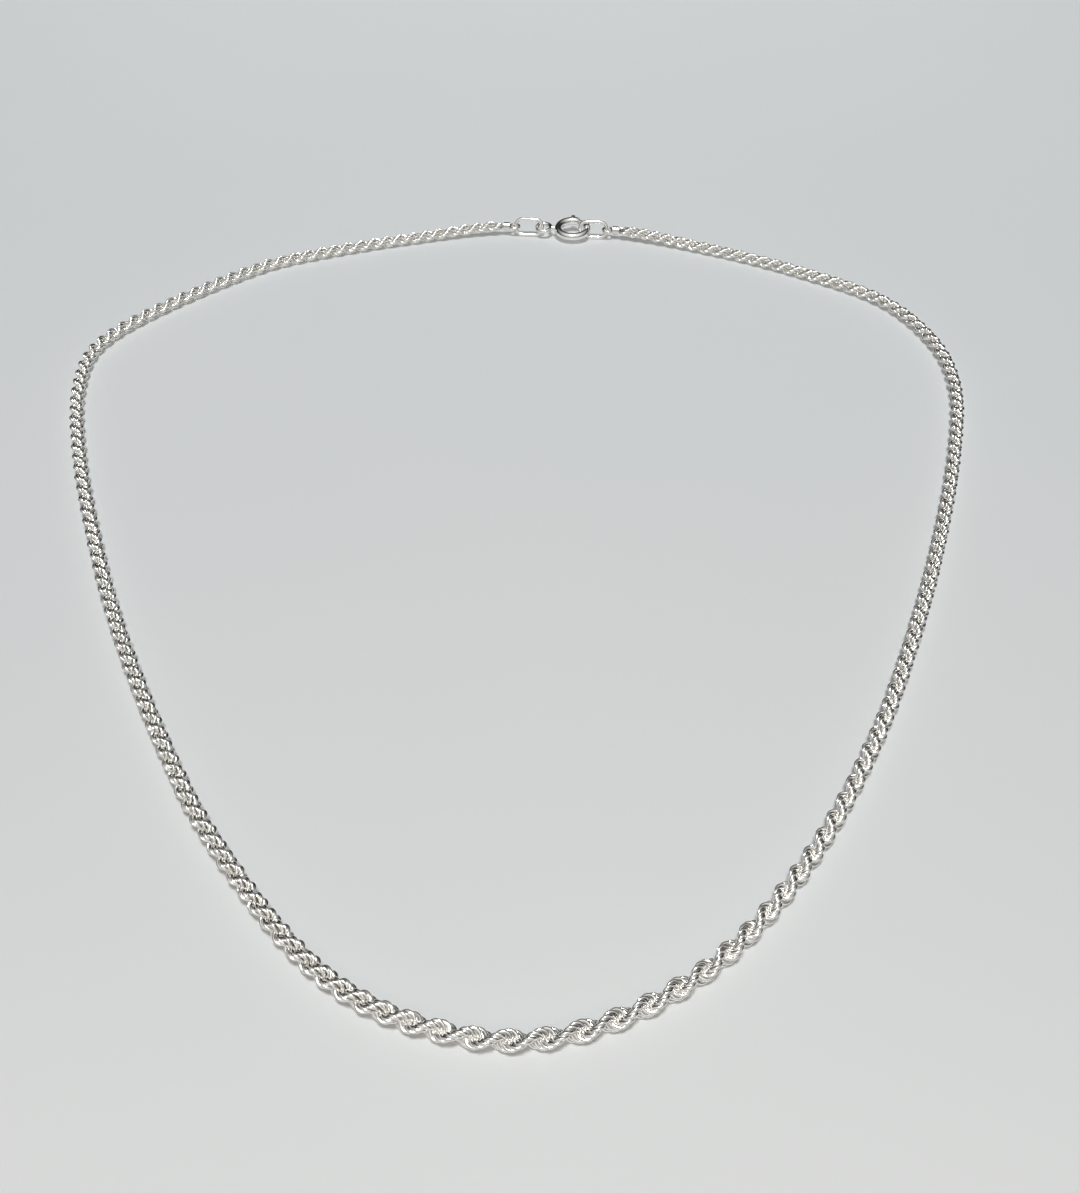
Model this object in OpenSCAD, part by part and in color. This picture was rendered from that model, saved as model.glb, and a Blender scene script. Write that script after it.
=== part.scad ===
// Rope chain necklace of silver, laid in an open loop and closed by a spring ring clasp.
// Millimetres. X runs to the right, Y from the loop's front to its clasp, Z up from the table.
// The origin is the middle of the loop's outline, on the table.

/* [Rope] */
// Outside diameter of the twisted rope of links
rope_d = 2.05; // [1.6:0.05:2.4]
// Width of the loop that the rope lies in, from middle to middle of the rope
loop_w = 136; // [128:1:144]
// Depth of the loop, from the middle of the rope in front to the middle of the clasp ring
loop_depth = 157.4; // [150:0.2:165]

/* [Clasp ring] */
// Outside diameter of the clasp's ring
ring_d = 6.9; // [6:0.1:8.4]
// Outside diameter of the ring's hollow tube
tube_d = 1.4; // [1.2:0.05:1.5]
// Thickness of the tube's wall
tube_wall = 0.22; // [0.15:0.01:0.3]
// Width of the way into the ring, in degrees of its circle
mouth_angle = 40; // [30:1:44]
// Angle at which that way begins, from the side of the far chain end
mouth_from = 28; // [26:1:36]

/* [Clasp pin] */
// Clearance all round between the pin and the tube's bore
pin_clear = 0.1; // [0.05:0.01:0.15]
// How far the pin's tip goes into the far mouth, in degrees
tip_depth = 5; // [3:1:7]
// How far behind the mouth the trigger stands, in degrees
trigger_back = 24; // [20:1:28]
// How far the pin runs on behind the trigger, in degrees
tail_angle = 14; // [8:1:16]
// Diameter of the trigger's post
post_d = 0.45; // [0.35:0.05:0.6]
// Clearance beside the post in its slot
post_clear = 0.08; // [0.05:0.01:0.12]
// Diameter of the trigger's button
knob_d = 0.95; // [0.7:0.05:1.3]
// Thickness of the button
knob_h = 0.4; // [0.3:0.05:0.6]
// Gap between the button and the tube
knob_gap = 0.12; // [0.08:0.01:0.2]

/* [Clasp loop] */
// Room all round the jump ring's wire in the closed loop on the clasp
loop_room = 0.58; // [0.5:0.02:0.8]
// Wire of that loop
loop_wire = 0.8; // [0.6:0.05:0.9]
// Length of the solder neck between ring and loop
neck_len = 0.3; // [0.2:0.05:0.6]
// Diameter of the solder neck
neck_d = 0.8; // [0.6:0.05:0.9]

/* [Jump rings] */
// Outside length of a jump ring
jump_len = 5.8; // [5.4:0.1:6.4]
// Room on each side of the clasp's tube where it passes through a jump ring
jump_room = 0.2; // [0.18:0.01:0.3]
// Wire of a jump ring
jump_wire = 0.65; // [0.55:0.05:0.7]

/* [End links] */
// Room all round the jump ring's wire in the ring soldered to each end of the rope
link_room = 0.33; // [0.3:0.01:0.5]
// Wire of that ring
link_wire = 0.5; // [0.4:0.05:0.55]
// Diameter of the solder cap on the rope's end
cap_d = 1.5; // [1.2:0.05:1.6]
// Length of the cap, from the ring to the rope
cap_len = 0.9; // [0.6:0.1:1.4]

/* [How it lies] */
// Turn of the clasp's line on the table, in degrees
clasp_turn = -5; // [-8:0.5:4]
// Lift of the clasp's back edge, in degrees
clasp_tilt = 7; // [4:1:9]
// Lift of the jump rings' back edges, in degrees
jump_tilt = 62; // [60:1:66]
// Slack between the clasp's tube and the jump ring round it
ring_slack = 0.4; // [0.35:0.01:0.6]
// Slack between the clasp's loop and the jump ring in it
loop_slack = 0.28; // [0.25:0.01:0.35]
// Slack between an end link and the jump ring in it
link_slack = 0.15; // [0.1:0.01:0.2]

/* [Hidden] */

// The loop as it was measured: its width and depth, the middle of the clasp ring, and the
// points that the rope passes on the table, from the left of the clasp round the front and
// back to its right. The two ends themselves follow from the clasp.
MEASURED_W = 136;
MEASURED_DEPTH = 157.4;
CLASP_POINT = [9.95, 77.6];
ROPE_POINTS = [[-20.5, 74.5], [-36.5, 68.5], [-47, 62.5], [-60.5, 48.5], [-68, 36],
               [-67.5, 23], [-62.5, 6.5], [-55.5, -11], [-47.5, -28.5], [-38, -46],
               [-29, -60], [-16.5, -74], [-4.5, -79.8], [7, -79.8], [19.5, -73.5],
               [30.5, -62], [40.5, -46.5], [49, -29.5], [56.5, -12], [63.5, 7],
               [68, 23.5], [68, 37.5], [62.5, 51], [50, 61.5], [35.5, 70]];
// The point of the whole route, its ends counted, where the two halves meet
FRONT_POINT = 13;
RINGS_PER_SPAN = 3;
ROPE_SIDES = 8;
ring_fn = 64;
wire_fn = 32;
// How far the cut for the bore runs past both ends of the clasp's tube, in degrees
CUT_PAST = 2;

// Clasp ring, seen from above with the rope's right end towards 0 degrees
ring_mid = (ring_d - tube_d) / 2;
bore_d = tube_d - 2 * tube_wall;
pin_d = bore_d - 2 * pin_clear;
mouth_to = mouth_from + mouth_angle;
tip_at = mouth_from - tip_depth;
knob_at = mouth_to + trigger_back;
tail_at = knob_at + tail_angle;
// The trigger slides until the pin's tip is clear of the mouth
trigger_travel = mouth_angle + tip_depth;
post_half = asin((post_d / 2 + post_clear) / ring_mid);
slot_from = knob_at - post_half;
slot_to = knob_at + trigger_travel + post_half;
slot_w = post_d + 2 * post_clear;

// Loop on the clasp's left
loop_d = jump_wire + 2 * (loop_room + loop_wire);
loop_mid = (loop_d - loop_wire) / 2;
loop_x = -(ring_d / 2 + neck_len + loop_d / 2);

// Jump rings, wide enough for the clasp's tube, which passes through them at a slant
jump_w = tube_d / sin(jump_tilt - clasp_tilt) + 2 * (jump_room + jump_wire);
jump_mid_len = jump_len - jump_wire;
jump_mid_w = jump_w - jump_wire;
jump_straight = jump_mid_len - jump_mid_w;
right_jump_near = ring_mid - (tube_d + jump_wire) / 2 - ring_slack;
right_jump_x = right_jump_near + jump_mid_len / 2;
left_jump_near = loop_x - loop_mid + (loop_wire + jump_wire) / 2 + loop_slack;
left_jump_x = left_jump_near - jump_mid_len / 2;

// End links, and the places where the rope's ends meet their caps
link_d = jump_wire + 2 * (link_room + link_wire);
link_mid = (link_d - link_wire) / 2;
link_hold = (jump_wire + link_wire) / 2 + link_slack;
right_link_x = right_jump_near + jump_mid_len - link_hold + link_mid;
left_link_x = left_jump_near - jump_mid_len + link_hold - link_mid;
right_rope_x = right_link_x + link_d / 2 + cap_len;
left_rope_x = left_link_x - link_d / 2 - cap_len;

// The jump rings stand on their lower edges and hold the clasp and the rope's ends up
line_z = max(jump_mid_w / 2 * sin(jump_tilt) + jump_wire / 2,
             ring_mid * sin(clasp_tilt) + tube_d / 2);
rope_z = rope_d / 2;
line_dir = [cos(clasp_turn), sin(clasp_turn)];
// Place of a measured point in a loop of the chosen width and depth
function in_loop(p) = [p[0] * loop_w / MEASURED_W, p[1] * loop_depth / MEASURED_DEPTH];
clasp_at = in_loop(CLASP_POINT);
function on_line(x) = clasp_at + x * line_dir;

// The rope's route, with a point past each end that gives the curve its direction there
LEAD = 16;
route = concat([on_line(left_rope_x + LEAD), on_line(left_rope_x)],
               [for (p = ROPE_POINTS) in_loop(p)],
               [on_line(right_rope_x), on_line(right_rope_x - LEAD)]);
spans = len(route) - 3;

// Place at t on the smooth curve through the route, where t counts its points
function route_xy(t) =
    let (k = min(floor(t), spans - 1), u = t - k,
         a = route[k], b = route[k + 1], c = route[k + 2], d = route[k + 3])
    0.5 * (2 * b + (c - a) * u + (2 * a - 5 * b + 4 * c - d) * u * u
           + (3 * b - a - 3 * c + d) * u * u * u);
// The rope leaves the table only along its first and last span
function route_z(t) =
    let (s = min(1, min(t, spans - t)))
    rope_z + (line_z - rope_z) * (1 - s) * (1 - s) * (1 + 2 * s);
function route_at(t) = concat(route_xy(t), route_z(t));
function unit(v) = v / norm(v);
// Direction of the rope at t, which is the clasp's line at both ends
function route_dir(t) =
    t <= 0 ? -concat(line_dir, 0) :
    t >= spans ? -concat(line_dir, 0) :
    unit(route_at(t + 0.01) - route_at(t - 0.01));

// One ring of the tube's corners, with a flat side towards the table
function rope_ring(t) =
    let (dir = route_dir(t), side = unit([-dir[1], dir[0], 0]), up = cross(dir, side),
         r = rope_d / 2 / cos(180 / ROPE_SIDES))
    [for (i = [0 : ROPE_SIDES - 1])
        let (a = (i + 0.5) * 360 / ROPE_SIDES)
        route_at(t) + r * cos(a) * side + r * sin(a) * up];

module rope(from, to) {
    rings = (to - from) * RINGS_PER_SPAN;
    points = [for (i = [0 : rings]) each rope_ring(from + i / RINGS_PER_SPAN)];
    walls = [for (i = [0 : rings - 1], j = [0 : ROPE_SIDES - 1])
        let (n = ROPE_SIDES, a = i * n + j, b = i * n + (j + 1) % n)
        [a, a + n, b + n, b]];
    first_end = [for (j = [0 : ROPE_SIDES - 1]) j];
    last_end = [for (j = [ROPE_SIDES - 1 : -1 : 0]) rings * ROPE_SIDES + j];
    polyhedron(points = points, faces = concat(walls, [first_end, last_end]));
}

// Puts its children on the clasp's line, x along it from the middle of the clasp ring
module on_clasp_line(x = 0, tilt = 0) {
    translate([clasp_at[0], clasp_at[1], line_z])
        rotate([0, 0, clasp_turn])
            translate([x, 0, 0])
                rotate([tilt, 0, 0])
                    children();
}

module wire_ring(mid_r, wire) {
    rotate_extrude($fn = ring_fn)
        translate([mid_r, 0])
            circle(d = wire, $fn = wire_fn);
}

// Part of the clasp ring's circle, from one angle to another, of a round section
module ring_arc(from, to, section_d) {
    rotate([0, 0, from])
        rotate_extrude(angle = to - from, $fn = ring_fn)
            translate([ring_mid, 0])
                circle(d = section_d, $fn = wire_fn);
}

module rope_chain_left() {
    color("silver")
        rope(0, FRONT_POINT);
}

module rope_chain_right() {
    color("silver")
        rope(FRONT_POINT, spans);
}

// Closed ring and solder cap on a rope's end; side is 1 on the right and -1 on the left
module end_link(x, side) {
    color("silver")
        on_clasp_line(x) {
            wire_ring(link_mid, link_wire);
            translate([side * link_mid, 0, 0])
                rotate([0, side * 90, 0])
                    cylinder(d = cap_d, h = link_wire / 2 + cap_len, $fn = wire_fn);
        }
}

module end_link_left() {
    end_link(left_link_x, -1);
}

module end_link_right() {
    end_link(right_link_x, 1);
}

// Oval ring of wire, long way along the clasp's line
module jump_ring(x) {
    color("gainsboro")
        on_clasp_line(x, jump_tilt)
            for (side = [-1, 1]) {
                translate([side * jump_straight / 2, 0, 0])
                    rotate([0, 0, -side * 90])
                        rotate_extrude(angle = 180, $fn = ring_fn)
                            translate([jump_mid_w / 2, 0])
                                circle(d = jump_wire, $fn = wire_fn);
                translate([-jump_straight / 2, side * jump_mid_w / 2, 0])
                    rotate([0, 90, 0])
                        cylinder(d = jump_wire, h = jump_straight, $fn = wire_fn);
            }
}

module jump_ring_left() {
    jump_ring(left_jump_x);
}

module jump_ring_right() {
    jump_ring(right_jump_x);
}

// Cut in the tube's outer wall that the trigger's post slides along
module trigger_slot() {
    rotate([0, 0, slot_from])
        rotate_extrude(angle = slot_to - slot_from, $fn = ring_fn)
            translate([ring_mid, -slot_w / 2])
                square([tube_d, slot_w]);
}

// Hollow tube bent to a ring, with its mouth, its slot and the loop soldered on
module clasp_body() {
    color("lightgray")
        on_clasp_line(0, clasp_tilt)
            difference() {
                union() {
                    ring_arc(mouth_to, 360 + mouth_from, tube_d);
                    translate([-(ring_d / 2 + neck_len / 2), 0, 0])
                        rotate([0, 90, 0])
                            cylinder(d = neck_d, h = neck_len + 2 * tube_wall, center = true, $fn = wire_fn);
                    translate([loop_x, 0, 0])
                        wire_ring(loop_mid, loop_wire);
                }
                ring_arc(mouth_to - CUT_PAST, 360 + mouth_from + CUT_PAST, bore_d);
                trigger_slot();
            }
}

// Curved pin that closes the mouth, with its post and button
module clasp_pin() {
    color("white")
        on_clasp_line(0, clasp_tilt) {
            ring_arc(tip_at, tail_at, pin_d);
            rotate([0, 0, knob_at])
                translate([ring_mid, 0, 0])
                    rotate([0, 90, 0]) {
                        cylinder(d = post_d, h = tube_d / 2 + knob_gap + knob_h / 2, $fn = wire_fn);
                        translate([0, 0, tube_d / 2 + knob_gap])
                            cylinder(d = knob_d, h = knob_h, $fn = wire_fn);
                    }
        }
}

rope_chain_left();
rope_chain_right();
end_link_left();
end_link_right();
jump_ring_left();
jump_ring_right();
clasp_body();
clasp_pin();
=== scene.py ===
"""Looks of a silver rope chain necklace that lies in an open loop on a pale table.

The rope is built here ring by ring, along the same route as the two plain tubes that it
replaces. The clasp, the jump rings and the end links keep their own solids and get materials.
Lengths are in millimetres in the tables and functions, and in metres in Blender.
"""

import math

import bpy
import numpy as np
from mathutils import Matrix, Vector


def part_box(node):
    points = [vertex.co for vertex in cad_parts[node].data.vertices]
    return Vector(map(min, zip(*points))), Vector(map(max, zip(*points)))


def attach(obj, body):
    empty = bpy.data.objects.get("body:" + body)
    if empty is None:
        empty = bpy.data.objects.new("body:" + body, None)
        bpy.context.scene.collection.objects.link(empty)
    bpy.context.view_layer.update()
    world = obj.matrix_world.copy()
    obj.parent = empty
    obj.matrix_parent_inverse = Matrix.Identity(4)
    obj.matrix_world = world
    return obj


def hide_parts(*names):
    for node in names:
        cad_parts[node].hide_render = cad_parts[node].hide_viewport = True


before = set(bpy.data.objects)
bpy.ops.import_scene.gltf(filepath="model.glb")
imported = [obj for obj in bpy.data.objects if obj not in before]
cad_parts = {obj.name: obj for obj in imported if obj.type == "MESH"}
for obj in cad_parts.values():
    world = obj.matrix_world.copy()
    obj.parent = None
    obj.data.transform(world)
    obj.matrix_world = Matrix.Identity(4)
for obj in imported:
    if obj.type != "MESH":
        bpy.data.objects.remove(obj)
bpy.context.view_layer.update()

MM = 0.001
scene = bpy.context.scene

# Camera, as it stood over the table for the photograph

# Height of the photograph and focal length in its pixels
PHOTO_H = 1193
FOCAL_PX = 1120
SENSOR = 36
CAMERA_AT = (3.765, -125.31, 95.64)
CAMERA_DOWN = 43.057
CLIP_START = 5


def add_camera():
    data = bpy.data.cameras.new("camera")
    data.sensor_width = SENSOR
    data.lens = FOCAL_PX / PHOTO_H * SENSOR
    data.clip_start = CLIP_START * MM
    camera = bpy.data.objects.new("camera", data)
    camera.location = Vector(CAMERA_AT) * MM
    camera.rotation_euler = (math.radians(90 - CAMERA_DOWN), 0, 0)
    scene.collection.objects.link(camera)
    scene.camera = camera


# Light

# The metal mirrors a bright ceiling that leans towards the front of the room. The table gets
# its light from a lamp high over the front, which casts the shadows, and from two soft lamps
# that cast none and aren't mirrored.
CEILING = (
    # cosine of the angle from the ceiling's middle, brightness
    (0.00, 0.02),
    (0.30, 0.05),
    (0.50, 0.28),
    (0.70, 0.60),
    (0.85, 1.00),
    (1.00, 1.25),
)
CEILING_LEAN = 25
CEILING_TINT = (1.0, 0.99, 0.97)
CEILING_STRENGTH = 0.79
LAMPS = (
    # name, place, tilt, size, power, colour, casts a shadow and is mirrored
    ("key_lamp", (0, -195, 1500), 0, (380, 320), 13.25, (0.972, 1.01, 1.023), True),
    ("fill_lamp", (0, 500, 600), 0, (400, 300), 1.85, (1.0, 0.995, 1.01), False),
    ("near_lamp", (0, -200, 120), 20, (260, 120), 0.073, (1.15, 0.98, 0.86), False),
)


def add_light():
    world = bpy.data.worlds.new("room")
    world.use_nodes = True
    scene.world = world
    world.cycles_visibility.diffuse = False
    nodes, links = world.node_tree.nodes, world.node_tree.links
    place = nodes.new("ShaderNodeTexCoord")
    facing = nodes.new("ShaderNodeVectorMath")
    facing.operation = "DOT_PRODUCT"
    lean = math.radians(CEILING_LEAN)
    facing.inputs[1].default_value = (0, -math.sin(lean), math.cos(lean))
    ramp = nodes.new("ShaderNodeValToRGB")
    stops = ramp.color_ramp.elements
    while len(stops) < len(CEILING):
        stops.new(0.5)
    for stop, (cosine, level) in zip(stops, CEILING):
        stop.position = cosine
        stop.color = (*(level * c for c in CEILING_TINT), 1)
    links.new(place.outputs["Generated"], facing.inputs[0])
    links.new(facing.outputs["Value"], ramp.inputs["Fac"])
    links.new(ramp.outputs["Color"], nodes["Background"].inputs["Color"])
    nodes["Background"].inputs["Strength"].default_value = CEILING_STRENGTH

    for name, at, tilt, size, power, colour, real in LAMPS:
        data = bpy.data.lights.new(name, "AREA")
        data.shape = "RECTANGLE"
        data.size, data.size_y = (side * MM for side in size)
        data.energy = power
        data.color = colour
        data.use_shadow = real
        lamp = bpy.data.objects.new(name, data)
        lamp.location = Vector(at) * MM
        lamp.rotation_euler.x = math.radians(tilt)
        lamp.visible_glossy = real
        scene.collection.objects.link(lamp)


# Materials

# Noise in cells a metre, and depths of the relief in millimetres
PATCH_CELLS = 900
MARK_CELLS = 5200
MARK_STRETCH = (1, 0.22, 1)
MARK_HEIGHT = 0.35
DENT_CELLS = 2100
SCRATCH_DEPTH = 0.02
# Colour of tarnish and painted shade deep between the rope's rings
TARNISH_AND_SHADE_COLOUR = (0.50, 0.45, 0.37)
TARNISH_ROUGHNESS = 0.16

CLOUD_CELLS = 14
GRAIN_CELLS = 1500
GRAIN_STRENGTH = 0.12
GRAIN_DEPTH = 0.05
PAPER_DARK = (0.766, 0.780, 0.777)
PAPER_LIGHT = (0.780, 0.789, 0.783)
PAPER_ROUGHNESS = (0.55, 0.7)


def new_material(name):
    material = bpy.data.materials.new(name)
    material.use_nodes = True
    nodes = material.node_tree.nodes
    return material, nodes, material.node_tree.links, nodes["Principled BSDF"]


def noise(nodes, links, source, scale, detail=2.0, stretch=(1, 1, 1)):
    """Noise at so many cells a metre, pulled along the axes whose stretch is below 1."""
    mapping = nodes.new("ShaderNodeMapping")
    mapping.inputs["Scale"].default_value = stretch
    texture = nodes.new("ShaderNodeTexNoise")
    texture.inputs["Scale"].default_value = scale
    texture.inputs["Detail"].default_value = detail
    links.new(source, mapping.inputs["Vector"])
    links.new(mapping.outputs[0], texture.inputs["Vector"])
    return texture.outputs["Fac"]


def remap(nodes, links, value, low, high, start=0.3, end=0.7):
    node = nodes.new("ShaderNodeMapRange")
    node.inputs["From Min"].default_value = start
    node.inputs["From Max"].default_value = end
    node.inputs["To Min"].default_value = low
    node.inputs["To Max"].default_value = high
    links.new(value, node.inputs["Value"])
    return node.outputs["Result"]


def mix_colour(nodes, links, factor, a, b):
    """Colour between a and b, each one a colour or a socket."""
    node = nodes.new("ShaderNodeMix")
    node.data_type = "RGBA"
    links.new(factor, node.inputs["Factor"])
    for socket, colour in ((node.inputs["A"], a), (node.inputs["B"], b)):
        if isinstance(colour, tuple):
            socket.default_value = (*colour, 1)
        else:
            links.new(colour, socket)
    return node.outputs["Result"]


def silver(name, bright, dull, rough, scratch, tarnish=None):
    """Polished silver: slow patches of colour, fine polishing marks and small dents.

    bright and dull are colours, rough holds the least and the most roughness, and scratch is
    the strength of the marks and dents.
    The last argument names a mesh attribute, 0 where the metal is left bright and 1 where it
    is darkest, with tarnish and painted shade.
    """
    material, nodes, links, shader = new_material(name)
    shader.inputs["Metallic"].default_value = 1.0
    place = nodes.new("ShaderNodeTexCoord").outputs["Object"]
    patches = remap(nodes, links, noise(nodes, links, place, PATCH_CELLS, 3.0), 0, 1)
    marks = noise(nodes, links, place, MARK_CELLS, 2.0, MARK_STRETCH)
    dents = noise(nodes, links, place, DENT_CELLS, 2.0)
    colour = mix_colour(nodes, links, patches, bright, dull)
    roughness = remap(nodes, links, marks, rough[0], rough[1])
    # The attribute darkens the colour with tarnish and painted shade.
    if tarnish:
        attribute = nodes.new("ShaderNodeAttribute")
        attribute.attribute_name = tarnish
        dark = attribute.outputs["Fac"]
        colour = mix_colour(nodes, links, dark, colour, TARNISH_AND_SHADE_COLOUR)
        add = nodes.new("ShaderNodeMath")
        add.operation = "MULTIPLY_ADD"
        add.inputs[1].default_value = TARNISH_ROUGHNESS
        links.new(dark, add.inputs[0])
        links.new(roughness, add.inputs[2])
        roughness = add.outputs[0]
    links.new(colour, shader.inputs["Base Color"])
    links.new(roughness, shader.inputs["Roughness"])
    height = nodes.new("ShaderNodeMath")
    height.operation = "MULTIPLY_ADD"
    height.inputs[1].default_value = MARK_HEIGHT
    links.new(marks, height.inputs[0])
    links.new(dents, height.inputs[2])
    bump = nodes.new("ShaderNodeBump")
    bump.inputs["Strength"].default_value = scratch
    bump.inputs["Distance"].default_value = SCRATCH_DEPTH * MM
    links.new(height.outputs[0], bump.inputs["Height"])
    links.new(bump.outputs["Normal"], shader.inputs["Normal"])
    return material


def table_paper():
    material, nodes, links, shader = new_material("table_paper")
    place = nodes.new("ShaderNodeTexCoord").outputs["Object"]
    clouds = remap(nodes, links, noise(nodes, links, place, CLOUD_CELLS, 3.0), 0, 1)
    grain = noise(nodes, links, place, GRAIN_CELLS, 3.0)
    tone = mix_colour(nodes, links, clouds, PAPER_DARK, PAPER_LIGHT)
    links.new(tone, shader.inputs["Base Color"])
    links.new(remap(nodes, links, grain, *PAPER_ROUGHNESS), shader.inputs["Roughness"])
    bump = nodes.new("ShaderNodeBump")
    bump.inputs["Strength"].default_value = GRAIN_STRENGTH
    bump.inputs["Distance"].default_value = GRAIN_DEPTH * MM
    links.new(grain, bump.inputs["Height"])
    links.new(bump.outputs["Normal"], shader.inputs["Normal"])
    return material


# Table, and a pale wall round it that only the camera sees, for views from the side

TABLE_SIZE = 2600
WALL_R = 1000
WALL_HIGH = 1600
WALL_SIDES = 96
WALL_GLOW = 0.2
WALL_COLOUR = (0.77, 0.78, 0.775)
WALL_GLOW_COLOUR = (0.97, 0.985, 0.99)
WALL_ROUGHNESS = 0.9


def add_table():
    half = TABLE_SIZE / 2 * MM
    data = bpy.data.meshes.new("table")
    corners = [(-half, -half, 0), (half, -half, 0), (half, half, 0), (-half, half, 0)]
    data.from_pydata(corners, [], [(0, 1, 2, 3)])
    data.materials.append(table_paper())
    table = bpy.data.objects.new("table", data)
    scene.collection.objects.link(table)


def add_wall():
    data = bpy.data.meshes.new("wall")
    angles = np.linspace(0, 2 * math.pi, WALL_SIDES, endpoint=False)
    corners = [
        (WALL_R * MM * math.cos(angle), WALL_R * MM * math.sin(angle), height * MM)
        for height in (0, WALL_HIGH) for angle in angles
    ]
    faces = [
        (i, (i + 1) % WALL_SIDES, WALL_SIDES + (i + 1) % WALL_SIDES, WALL_SIDES + i)
        for i in range(WALL_SIDES)
    ]
    data.from_pydata(corners, [], faces)
    data.shade_smooth()
    material, _, _, shader = new_material("wall_paper")
    shader.inputs["Base Color"].default_value = (*WALL_COLOUR, 1)
    shader.inputs["Roughness"].default_value = WALL_ROUGHNESS
    shader.inputs["Emission Color"].default_value = (*WALL_GLOW_COLOUR, 1)
    shader.inputs["Emission Strength"].default_value = WALL_GLOW
    data.materials.append(material)
    wall = bpy.data.objects.new("wall", data)
    wall.visible_diffuse = wall.visible_glossy = wall.visible_shadow = False
    scene.collection.objects.link(wall)


# Route of the rope, the same points as the tubes that it replaces

ROPE_D = 2.05
CLASP_AT = (9.95, 77.6)
CLASP_TURN = -5
# Places of the rope's ends along the clasp's line, from the middle of the clasp ring
LEFT_END = -13.14
RIGHT_END = 8.71
LEAD = 16
ROPE_POINTS = (
    (-20.5, 74.5), (-36.5, 68.5), (-47, 62.5), (-60.5, 48.5), (-68, 36),
    (-67.5, 23), (-62.5, 6.5), (-55.5, -11), (-47.5, -28.5), (-38, -46),
    (-29, -60), (-16.5, -74), (-4.5, -79.8), (7, -79.8), (19.5, -73.5),
    (30.5, -62), (40.5, -46.5), (49, -29.5), (56.5, -12), (63.5, 7),
    (68, 23.5), (68, 37.5), (62.5, 51), (50, 61.5), (35.5, 70),
)
FRONT_POINT = 13
STEPS_PER_SPAN = 60


def on_line(x):
    turn = math.radians(CLASP_TURN)
    return (CLASP_AT[0] + x * math.cos(turn), CLASP_AT[1] + x * math.sin(turn))


def rope_route():
    """Points along the middle of the rope, with the distance along it and the unit direction."""
    link_low, link_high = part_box("end_link_left")
    line_z = (link_low.z + link_high.z) / 2 / MM
    ends = [on_line(LEFT_END + LEAD), on_line(LEFT_END)]
    ends += [*ROPE_POINTS, on_line(RIGHT_END), on_line(RIGHT_END - LEAD)]
    knots = np.array(ends)
    # The first and the last point only set the direction at the curve's ends.
    spans = len(knots) - 3
    t = np.linspace(0, spans, spans * STEPS_PER_SPAN + 1)
    k = np.minimum(t.astype(int), spans - 1)
    u = (t - k)[:, None]
    a, b, c, d = (knots[k + i] for i in range(4))
    # Catmull-Rom curve through the points
    flat = 0.5 * (2 * b + (c - a) * u + (2 * a - 5 * b + 4 * c - d) * u**2
                  + (3 * b - a - 3 * c + d) * u**3)
    # The rope lies on the table and rises to the clasp's height over its first and last span.
    s = np.minimum(1, np.minimum(t, spans - t))
    rope_z = ROPE_D / 2
    height = rope_z + (line_z - rope_z) * (1 - s) ** 2 * (1 + 2 * s)
    points = np.column_stack([flat, height])
    steps = np.linalg.norm(np.diff(points, axis=0), axis=1)
    along = np.concatenate([[0], np.cumsum(steps)])
    ways = np.gradient(points, along, axis=0)
    ways /= np.linalg.norm(ways, axis=1)[:, None]
    return points, along, ways, along[FRONT_POINT * STEPS_PER_SPAN]


# Rope

# Closed rings of wire, every second one on the other side of the rope's middle, all of them
# turned a little further round it than the ring before
WIRE = 0.33
RING_R = 0.775
RING_OUT = 0.085
# Tilt of each ring's axis away from the rope's middle, in degrees
RING_NOD = -2
RING_STEP = 0.25
RING_SIDES = 24
WIRE_SIDES = 8
END_MARGIN = 0.75
TWIST_STEP = 0.1
# Length of one lobe of the rope, which is half a turn of its twist, along the rope from its
# left end. The twist was pushed together towards the left and drawn out at the front.
LOBES = (
    # place, length
    (0, 2.47),
    (130, 2.61),
    (145, 2.18),
    (160, 2),
    (180, 2.15),
    (198, 2.13),
    (211, 2.2),
    (214, 2.45),
    (216, 2.85),
    (218, 2.97),
    (230, 3.3),
    (242, 3.06),
    (250, 2.92),
    (256, 2.79),
    (262, 2.7),
    (270, 2.63),
    (278, 2.53),
    (290, 2.45),
    (298, 2.36),
    (306, 2.25),
    (316, 2.25),
    (325, 2.32),
    (335, 2.43),
    (450, 2.31),
)
FIRST_TURN = 63
# The rings lean over further where the twist is drawn out.
LEANS = (
    # length of a lobe, lean in degrees
    (2.1, 78),
    (3.2, 92),
)
# Unevenness of the rings as standard deviations: lean and turn in degrees, place in millimetres
WOBBLE_SEED = 7
WOBBLE_LEAN = 0.8
WOBBLE_TURN = 1.2
WOBBLE_OUT = 0.008
# Share of the rope's radius inside which tarnish and painted shade darken it, and over which
# they grow
DARKEN_INSIDE = 0.80
DARKEN_OVER = 0.45
# Bright and dull colour, least and most roughness, strength of the scratches
ROPE_SILVER = ((0.97, 0.955, 0.925), (0.93, 0.915, 0.88), (0.06, 0.14), 0.07)


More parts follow.
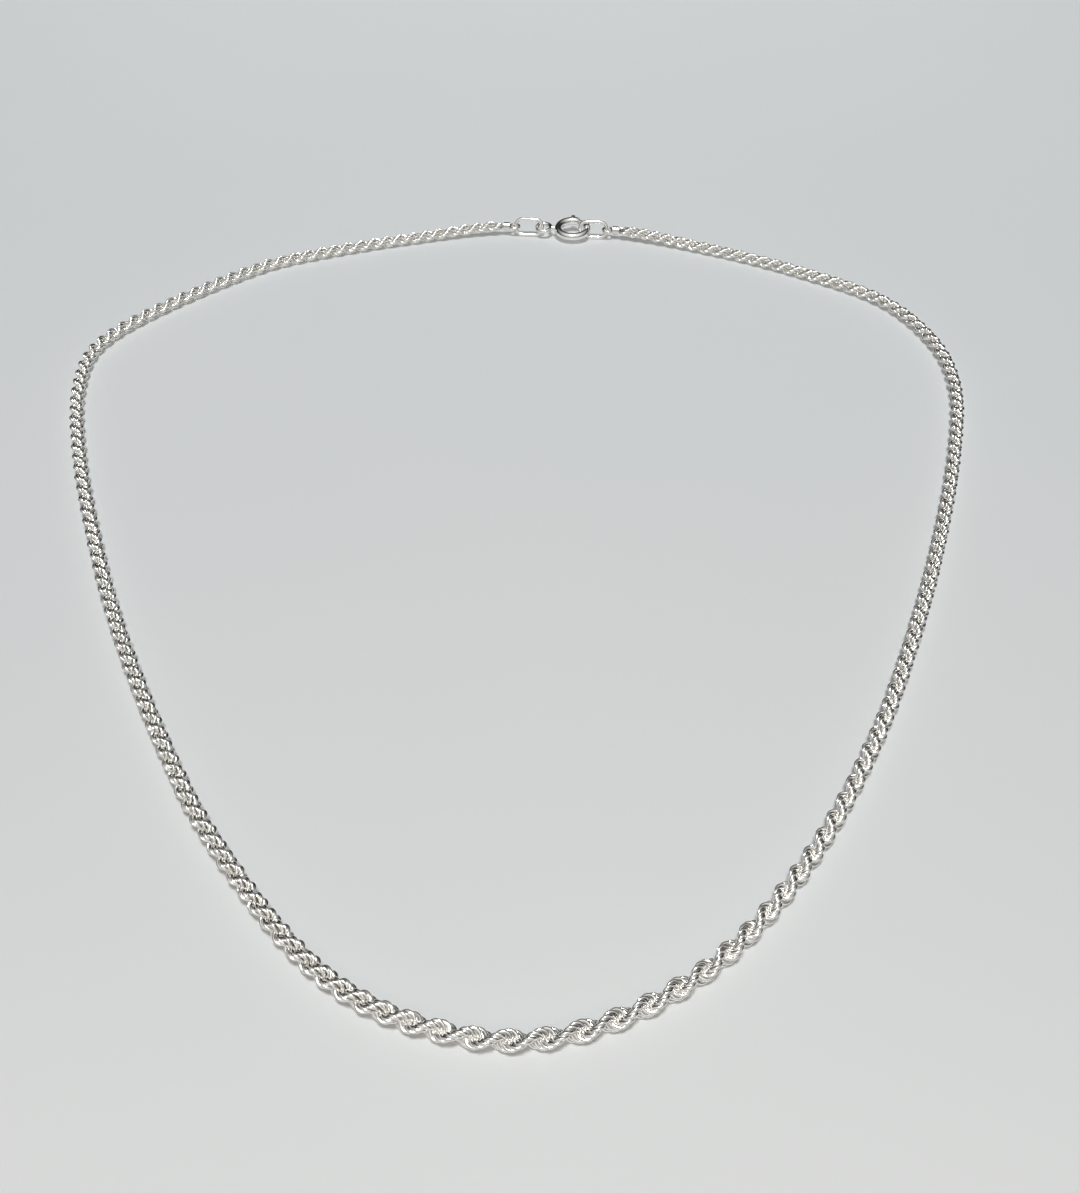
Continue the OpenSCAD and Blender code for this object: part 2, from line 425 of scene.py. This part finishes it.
def rope_rings():
    """Place of each ring along the rope, the rope's middle there and the ring's own middle, two
    directions in the ring's plane and the one across it, and the place of the rope's front.
    """
    points, along, ways, front = rope_route()
    places = np.arange(END_MARGIN, along[-1] - END_MARGIN, RING_STEP)
    middle = np.column_stack([np.interp(places, along, points[:, i]) for i in range(3)])
    way = np.column_stack([np.interp(places, along, ways[:, i]) for i in range(3)])
    way /= np.linalg.norm(way, axis=1)[:, None]
    side = np.cross([0, 0, 1], way)
    side /= np.linalg.norm(side, axis=1)[:, None]
    up = np.cross(way, side)

    fine = np.arange(0, along[-1], TWIST_STEP)
    lobe = np.interp(fine, *zip(*LOBES))
    twist = np.concatenate([[0], np.cumsum(TWIST_STEP * math.pi / lobe)])[: len(fine)]
    number = np.arange(len(places))
    rng = np.random.default_rng(WOBBLE_SEED)
    turn = math.pi * number - math.radians(FIRST_TURN) - np.interp(places, fine, twist)
    turn += np.radians(WOBBLE_TURN) * rng.standard_normal(len(places))
    lean = np.interp(np.interp(places, fine, lobe), *zip(*LEANS))
    lean = np.radians(lean + WOBBLE_LEAN * rng.standard_normal(len(places)))[:, None]
    nod = np.radians(RING_NOD)
    out_by = RING_OUT + WOBBLE_OUT * rng.standard_normal(len(places))[:, None]

    cos_turn, sin_turn = np.cos(turn)[:, None], np.sin(turn)[:, None]
    out = cos_turn * side + sin_turn * up
    onward = sin_turn * side - cos_turn * up
    across = np.cos(nod) * (np.cos(lean) * way + np.sin(lean) * onward) + np.sin(nod) * out
    first = out - (out * across).sum(1)[:, None] * across
    first /= np.linalg.norm(first, axis=1)[:, None]
    second = np.cross(across, first)
    return places, middle, middle + out_by * out, first, second, across, front


def ring_template():
    """Corners of one ring in its own plane and the four-sided faces between them."""
    round_ring = np.linspace(0, 2 * math.pi, RING_SIDES, endpoint=False)
    round_wire = np.linspace(0, 2 * math.pi, WIRE_SIDES, endpoint=False)
    radius = RING_R + WIRE / 2 * np.cos(round_wire)[None, :]
    x = (np.cos(round_ring)[:, None] * radius).ravel()
    y = (np.sin(round_ring)[:, None] * radius).ravel()
    z = np.tile(WIRE / 2 * np.sin(round_wire), RING_SIDES)
    i, j = np.meshgrid(np.arange(RING_SIDES), np.arange(WIRE_SIDES), indexing="ij")
    i_next, j_next = (i + 1) % RING_SIDES, (j + 1) % WIRE_SIDES
    corners = (i, j), (i_next, j), (i_next, j_next), (i, j_next)
    faces = np.stack([a * WIRE_SIDES + b for a, b in corners], axis=-1).reshape(-1, 4)
    return x, y, z, faces


def add_rope_piece(name, rings, chosen, replaced, material):
    """One mesh of the chosen rings, which stands for the CAD nodes in replaced."""
    _, middle, centre, first, second, across, _ = rings
    x, y, z, faces = ring_template()
    corners = (
        centre[chosen, None, :]
        + x[None, :, None] * first[chosen, None, :]
        + y[None, :, None] * second[chosen, None, :]
        + z[None, :, None] * across[chosen, None, :]
    )
    count = len(corners)
    # Tarnish and painted shade: the rings darken deeper inside the rope, between the other rings
    depth = np.linalg.norm(corners - middle[chosen, None, :], axis=2) / (ROPE_D / 2)
    tarnish = np.clip((DARKEN_INSIDE - depth) / DARKEN_OVER, 0, 1).ravel()
    all_faces = faces[None] + (np.arange(count) * len(x))[:, None, None]
    data = bpy.data.meshes.new(name)
    data.vertices.add(count * len(x))
    data.vertices.foreach_set("co", (corners * MM).astype(np.float32).ravel())
    data.loops.add(all_faces.size)
    data.loops.foreach_set("vertex_index", all_faces.astype(np.int32).ravel())
    data.polygons.add(all_faces.size // 4)
    data.polygons.foreach_set("loop_start", np.arange(0, all_faces.size, 4, dtype=np.int32))
    data.update(calc_edges=True)
    data.validate()
    data.shade_smooth()
    attribute = data.attributes.new("tarnish", "FLOAT", "POINT")
    attribute.data.foreach_set("value", tarnish.astype(np.float32))
    data.materials.append(material)
    piece = bpy.data.objects.new(name, data)
    scene.collection.objects.link(piece)
    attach(piece, "necklace")
    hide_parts(*replaced)


def add_rope():
    rings = rope_rings()
    places, front, end = rings[0], rings[-1], rings[0][-1] + END_MARGIN
    material = silver("silver_rope", *ROPE_SILVER, "tarnish")
    cuts = (
        ("rope_left_back", 0, front / 2, "rope_chain_left"),
        ("rope_left_front", front / 2, front, "rope_chain_left"),
        ("rope_right_front", front, (front + end) / 2, "rope_chain_right"),
        ("rope_right_back", (front + end) / 2, end, "rope_chain_right"),
    )
    for name, start, stop, node in cuts:
        chosen = (places >= start) & (places < stop)
        add_rope_piece(name, rings, chosen, [node], material)


# Clasp, jump rings and end links keep their solids

# Bright and dull colour, least and most roughness, strength of the scratches
CLASP_SILVER = ((0.95, 0.94, 0.915), (0.88, 0.87, 0.84), (0.06, 0.16), 0.3)
WIRE_SILVER = ((0.95, 0.935, 0.905), (0.86, 0.845, 0.81), (0.08, 0.20), 0.35)
SOLDER_SILVER = ((0.90, 0.88, 0.84), (0.78, 0.76, 0.72), (0.12, 0.30), 0.6)
NODE_FINISH = {
    "clasp_body": CLASP_SILVER,
    "clasp_pin": CLASP_SILVER,
    "jump_ring_left": WIRE_SILVER,
    "jump_ring_right": WIRE_SILVER,
    "end_link_left": SOLDER_SILVER,
    "end_link_right": SOLDER_SILVER,
}


def dress_nodes():
    for node, finish in NODE_FINISH.items():
        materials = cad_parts[node].data.materials
        materials.clear()
        materials.append(silver("silver_" + node, *finish))


scene.view_settings.view_transform = "Standard"
add_camera()
add_light()
add_table()
add_wall()
add_rope()
dress_nodes()
